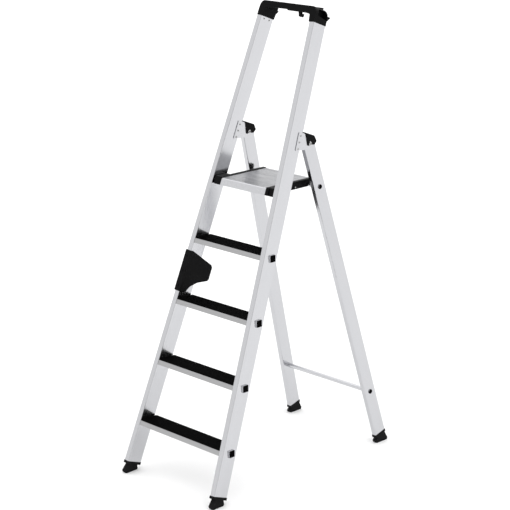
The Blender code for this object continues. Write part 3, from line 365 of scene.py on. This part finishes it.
# Cutters for detail too fine for the CAD ---------------------------------------------------
def prism(outline, place, low, high):
    """An outline in the place's own X and Y, run along its Z from low to high."""
    body = bmesh.new()
    rings = [[body.verts.new(place @ Vector((u, v, w))) for u, v in outline] for w in (low, high)]
    body.faces.new(reversed(rings[0]))
    body.faces.new(rings[1])
    for index in range(len(outline)):
        following = (index + 1) % len(outline)
        body.faces.new(
            (rings[0][index], rings[0][following], rings[1][following], rings[1][index])
        )
    bmesh.ops.recalc_face_normals(body, faces=body.faces)
    mesh = bpy.data.meshes.new("prism")
    body.to_mesh(mesh)
    body.free()
    return mesh


def ring(radius, count):
    """A regular outline about the origin."""
    angles = [2 * math.pi * index / count for index in range(count)]
    return [(radius * math.cos(angle), radius * math.sin(angle)) for angle in angles]


def cross(reach, half):
    """The outline of a cross recess."""
    quarter = [(reach, -half), (reach, half), (half, half)]
    outline = []
    for _ in range(4):
        outline += quarter
        quarter = [(-v, u) for u, v in quarter]
    return outline


def standing(origin, across, depth, along):
    """A place at the origin with the given directions as its X, Y and Z."""
    turn = Matrix((across, depth, along)).transposed().to_4x4()
    return Matrix.Translation(origin) @ turn


def facing(direction, origin):
    """A place at the origin whose Z runs along the direction."""
    turn = direction.to_track_quat("Z", "Y").to_matrix().to_4x4()
    return Matrix.Translation(origin) @ turn


def tip(node, direction):
    """The point where a fastener's own axis leaves its head on the direction's side."""
    points = [v.co for v in nodes[node].data.vertices]
    middle = sum(points, Vector()) / len(points)
    reach = max((point - middle).dot(direction) for point in points)
    return middle + direction * reach


def joined(name, meshes, finish):
    """Separate cutter meshes as one object, whose finish the cut faces take."""
    body = bmesh.new()
    for mesh in meshes:
        body.from_mesh(mesh)
        bpy.data.meshes.remove(mesh)
    mesh = bpy.data.meshes.new(name)
    body.to_mesh(mesh)
    body.free()
    mesh.materials.append(finish)
    tool = bpy.data.objects.new(name, mesh)
    bpy.context.scene.collection.objects.link(tool)
    return tool


# Finer copies of the CAD solids ----------------------------------------------------------
def cut(piece, tool):
    """A boolean cut on the piece."""
    step = piece.modifiers.new("cut", "BOOLEAN")
    step.operation = "DIFFERENCE"
    step.solver = "EXACT"
    step.material_mode = "TRANSFER"
    step.object = tool


def settled(piece):
    """The piece's mesh with its modifiers applied."""
    graph = bpy.context.evaluated_depsgraph_get()
    mesh = bpy.data.meshes.new_from_object(piece.evaluated_get(graph))
    piece.modifiers.clear()
    piece.data = mesh
    return mesh


def rounded_copy(node, radius):
    """The CAD solid with its edges rounded and its detail cut, shown in the solid's place."""
    mesh = nodes[node].data.copy()
    mesh.name = f"{node}_fine"
    body = bmesh.new()
    body.from_mesh(mesh)
    bmesh.ops.remove_doubles(body, verts=body.verts, dist=SAME_POINT)
    bmesh.ops.dissolve_limit(
        body, angle_limit=FLAT_BELOW, verts=body.verts, edges=body.edges
    )
    body.to_mesh(mesh)
    body.free()
    mesh.materials.clear()
    mesh.materials.append(finish_for(node))
    piece = bpy.data.objects.new(f"{node}_fine", mesh)
    bpy.context.scene.collection.objects.link(piece)
    tools = []
    if node in shaping:
        tools.append(joined(f"{node}_shaping", shaping[node], finish_for(node)))
        cut(piece, tools[-1])
    bevel = piece.modifiers.new("rounding", "BEVEL")
    bevel.width = radius
    bevel.segments = ROUNDING_SEGMENTS
    bevel.limit_method = "ANGLE"
    bevel.angle_limit = ROUNDED_ABOVE
    bevel.use_clamp_overlap = True
    mesh.shade_smooth()
    if node in engraving:
        # Rivet holes and bolt sockets take the near-black steel: painted shade in the recesses.
        in_steel = slot_of_node[node] == "fastener_steel"
        shaded_lining = finishes["recess_shade_steel"] if in_steel else finish_for(node)
        tools.append(joined(f"{node}_engraving", engraving[node], shaded_lining))
        cut(piece, tools[-1])
    mesh = settled(piece)
    if tools:
        mesh.set_sharp_from_angle(angle=CREASED_ABOVE)
    for tool in tools:
        bpy.data.objects.remove(tool, do_unlink=True)
    flatten = piece.modifiers.new("flat_faces", "WEIGHTED_NORMAL")
    flatten.mode = "FACE_AREA"
    flatten.weight = 100
    flatten.keep_sharp = True
    settled(piece)
    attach(piece, body_of_node[node])
    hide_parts(node)
    return piece


shaping = {}  # cut before the edges are rounded
engraving = {}  # cut after
OUTWARD = {"left": Vector((-1, 0, 0)), "right": Vector((1, 0, 0))}


def side_of(node):
    """The side in a node's name."""
    return "left" if "left" in node else "right"


def member_axes(node):
    """Directions across, through the depth of and along a box-section member."""
    along = long_axis(node)
    flat = max(
        (face for face in nodes[node].data.polygons if face.normal.x > 0.9),
        key=lambda face: face.area,
    )
    across = flat.normal.copy()
    return across, along.cross(across), along


def extent(node, axis):
    """Lowest and highest reach of a node along an axis."""
    reach = [v.co.dot(axis) for v in nodes[node].data.vertices]
    return min(reach), max(reach)


# Fasteners: rivets keep their mandrel holes, bolts have hexagon sockets, screws cross recesses.
for node in sorted(nodes):
    if slot_of_node[node] != "fastener_steel":
        continue
    outward = OUTWARD[side_of(node)]
    if "rivet" in node:
        across = member_axes(f"stile_{side_of(node)}")[0]
        ends = (across, -across)
        outline, depth = ring(RIVET_HOLE_RADIUS, 12), RIVET_HOLE_DEPTH
    elif "bolt" in node:
        ends = (outward, -outward)
        outline, depth = ring(BOLT_SOCKET_RADIUS, 6), BOLT_SOCKET_DEPTH
    elif "screw" in node:
        ends = (outward,)
        outline, depth = cross(SCREW_RECESS_REACH, SCREW_RECESS_HALF), SCREW_RECESS_DEPTH
    else:
        continue
    engraving[node] = [
        prism(outline, facing(end, tip(node, end)), -depth, CLEAR) for end in ends
    ]

# Deck: fine ribs between the main grooves.
deck_low, deck_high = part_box("platform_deck")
deck_points = [v.co for v in nodes["platform_deck"].data.vertices]
groove_floor = deck_high.z - MAIN_GROOVE_DEPTH
floor_edges = sorted(
    {round(p.y, 5) for p in deck_points if abs(p.z - groove_floor) < SAME_HEIGHT}
)
groove_middles = [sum(pair) / 2 for pair in zip(floor_edges[::2], floor_edges[1::2])]
pitch = (groove_middles[-1] - groove_middles[0]) / (len(groove_middles) - 1)
flat_front = min(p.y for p in deck_points if p.z > deck_high.z - SAME_HEIGHT)
along_x = Matrix.Rotation(math.pi / 2, 4, "Z") @ Matrix.Rotation(math.pi / 2, 4, "X")
fine_outline = [(-FINE_HALF, FINE_CLEAR), (0, -FINE_DEPTH), (FINE_HALF, FINE_CLEAR)]
fine_grooves = []
for number in range(-FINE_PER_GROOVE, FINE_PER_GROOVE * len(groove_middles)):
    y = groove_middles[0] + number * pitch / FINE_PER_GROOVE
    on_flat = flat_front + FINE_MARGIN < y < deck_high.y - FINE_MARGIN
    if number % FINE_PER_GROOVE == 0 or not on_flat:
        continue
    place = Matrix.Translation((0, y, deck_high.z)) @ along_x
    fine_grooves.append(prism(fine_outline, place, deck_low.x - MM, deck_high.x + MM))
engraving["platform_deck"] = fine_grooves

# Carry grip: three screw recesses down its front, and a moulded line down each side.
grip_across, grip_depth, grip_along = member_axes("stile_left")
side_low, side_high = extent("carry_grip", grip_across)
fore = extent("carry_grip", grip_depth)[0]
foot_end, head_end = extent("carry_grip", grip_along)


def on_grip(across, depth, along):
    """A point of the grip from its reaches along the stile's directions."""
    return grip_across * across + grip_depth * depth + grip_along * along


grip_cuts = []
recess = ring(GRIP_SCREW_RADIUS, 20)
for share in GRIP_SCREW_SHARES:
    middle = on_grip(
        (side_low + side_high) / 2, fore, foot_end + share * (head_end - foot_end)
    )
    grip_cuts.append(prism(recess, facing(-grip_depth, middle), -GRIP_SCREW_DEPTH, CLEAR))
half = (head_end - foot_end) / 2 - GRIP_LINE_MARGIN
line = [
    (-GRIP_LINE_HALF, -half),
    (GRIP_LINE_HALF, -half),
    (GRIP_LINE_HALF, half),
    (-GRIP_LINE_HALF, half),
]
for reach, direction in ((side_low, -grip_across), (side_high, grip_across)):
    middle = on_grip(reach, fore + GRIP_LINE_SETBACK, (foot_end + head_end) / 2)
    place = standing(middle, grip_depth, grip_along, direction)
    grip_cuts.append(prism(line, place, -GRIP_LINE_DEPTH, CLEAR))
engraving["carry_grip"] = grip_cuts

# Bow: the outer side of each arm is open toward the rear, under the tray's end.
for side in ("left", "right"):
    across, depth, along = member_axes(f"stile_{side}")
    outward = across if side == "right" else -across
    faces = dict(zip(("front", "rear"), extent(f"stile_{side}", depth)))
    reach = extent("top_bow", outward)[1]
    stile_end = extent(f"stile_{side}", along)[1]
    pocket = [
        (faces[face] + behind, stile_end + height) for face, behind, height in POCKET_CORNERS
    ]
    place = standing(outward * reach, depth, along, outward)
    shaping.setdefault("top_bow", []).append(prism(pocket, place, -POCKET_DEPTH, POCKET_CLEAR))

pieces = {node: rounded_copy(node, ROUNDING[slot_of_node[node]]) for node in sorted(nodes)}

# Treads: the sleeves' ends beyond the stiles take the lighter anodised shade of the tubes, a
# painted highlight on the sleeve ends.
right_across = member_axes("stile_right")[0]
stile_face = extent("stile_right", right_across)[1]
for number in TREADS:
    mesh = pieces[f"tread_{number}"].data
    mesh.materials.append(finishes["tube_aluminium"])
    for face in mesh.polygons:
        mirrored = Vector((abs(face.center.x), face.center.y, face.center.z))
        if mirrored.dot(right_across) > stile_face:
            face.material_index = 1

# The deck's rounded nose takes the lighter anodised shade: a painted highlight along the nose.
mesh = pieces["platform_deck"].data
mesh.materials.append(finishes["bracket_aluminium"])
for face in mesh.polygons:
    if face.center.y < flat_front and face.center.z > deck_low.z + NOSE_LOW_MARGIN:
        face.material_index = 1

# A low lip along the top of each side bar keeps feet on the deck.
for side in ("left", "right"):
    for vertex in pieces[f"platform_side_bar_{side}"].data.vertices:
        if vertex.co.z > deck_high.z - MM:
            vertex.co.z += LIP_RISE

# Floor, light and camera -----------------------------------------------------------------
floor_mesh = bpy.data.meshes.new("floor")
floor_half = FLOOR_SIZE / 2
floor_corners = [(-1, -1), (1, -1), (1, 1), (-1, 1)]
floor_mesh.from_pydata(
    [(x * floor_half, y * floor_half, 0) for x, y in floor_corners], [], [(0, 1, 2, 3)]
)
floor = bpy.data.objects.new("floor", floor_mesh)
bpy.context.scene.collection.objects.link(floor)
floor_paint, _, floor_shader = new_material("studio_floor", 0.0, 0.0)
floor_shader.inputs["Base Color"].default_value = FLOOR_WHITE
floor_shader.inputs["Roughness"].default_value = FLOOR_ROUGHNESS
floor_mesh.materials.append(floor_paint)

world = bpy.data.worlds.new("studio")
bpy.context.scene.world = world
world.use_nodes = True
sky = world.node_tree
backdrop = sky.nodes["Background"]
direction = add_node(sky, "ShaderNodeTexCoord").outputs["Generated"]
split = add_node(sky, "ShaderNodeSeparateXYZ", {"Vector": direction})
climb = add_node(sky, "ShaderNodeMath", {0: split.outputs["Z"], 1: 2.0}, operation="POWER")
brightness = add_node(
    sky,
    "ShaderNodeMath",
    {0: climb.outputs["Value"], 1: ZENITH_EXTRA, 2: HORIZON_LIGHT},
    operation="MULTIPLY_ADD",
)
# The darker end of the room, on the side the camera stands on. It is fixed in the room, so it
# stays where it is in other views.
toward_dark = add_node(
    sky, "ShaderNodeVectorMath", {0: direction, 1: DARK_END}, operation="DOT_PRODUCT"
)
shade = add_node(
    sky,
    "ShaderNodeMapRange",
    {
        "Value": toward_dark.outputs["Value"],
        "From Min": math.cos(DARK_END_OUTER),
        "From Max": math.cos(DARK_END_INNER),
        "To Min": 1.0,
        "To Max": DARK_END_LIGHT,
    },
    interpolation_type="SMOOTHSTEP",
)
lit = add_node(
    sky,
    "ShaderNodeMath",
    {0: brightness.outputs["Value"], 1: shade.outputs["Result"]},
    operation="MULTIPLY",
)
sky.links.new(lit.outputs["Value"], backdrop.inputs["Strength"])
backdrop.inputs["Color"].default_value = (1.0, 1.0, 1.0, 1.0)

softbox = bpy.data.lights.new("overhead_softbox", "SUN")
softbox.angle = SOFTBOX_ANGLE
softbox.energy = SOFTBOX_ENERGY
softbox_object = bpy.data.objects.new("overhead_softbox", softbox)
softbox_object.location = (0, 0, SOFTBOX_HEIGHT)
bpy.context.scene.collection.objects.link(softbox_object)

camera_data = bpy.data.cameras.new("camera")
camera_data.sensor_width = CAMERA_SENSOR
camera_data.lens = CAMERA_LENS
camera_data.clip_end = CAMERA_REACH
camera = bpy.data.objects.new("camera", camera_data)
bpy.context.scene.collection.objects.link(camera)
aim = Matrix.Rotation(CAMERA_AZIMUTH, 4, "Z") @ Matrix.Rotation(CAMERA_TILT, 4, "X")
aim = aim @ Matrix.Rotation(CAMERA_ROLL, 4, "Z")
camera.matrix_world = Matrix.Translation(CAMERA_PLACE) @ aim
bpy.context.scene.camera = camera
bpy.context.scene.view_settings.view_transform = "Standard"
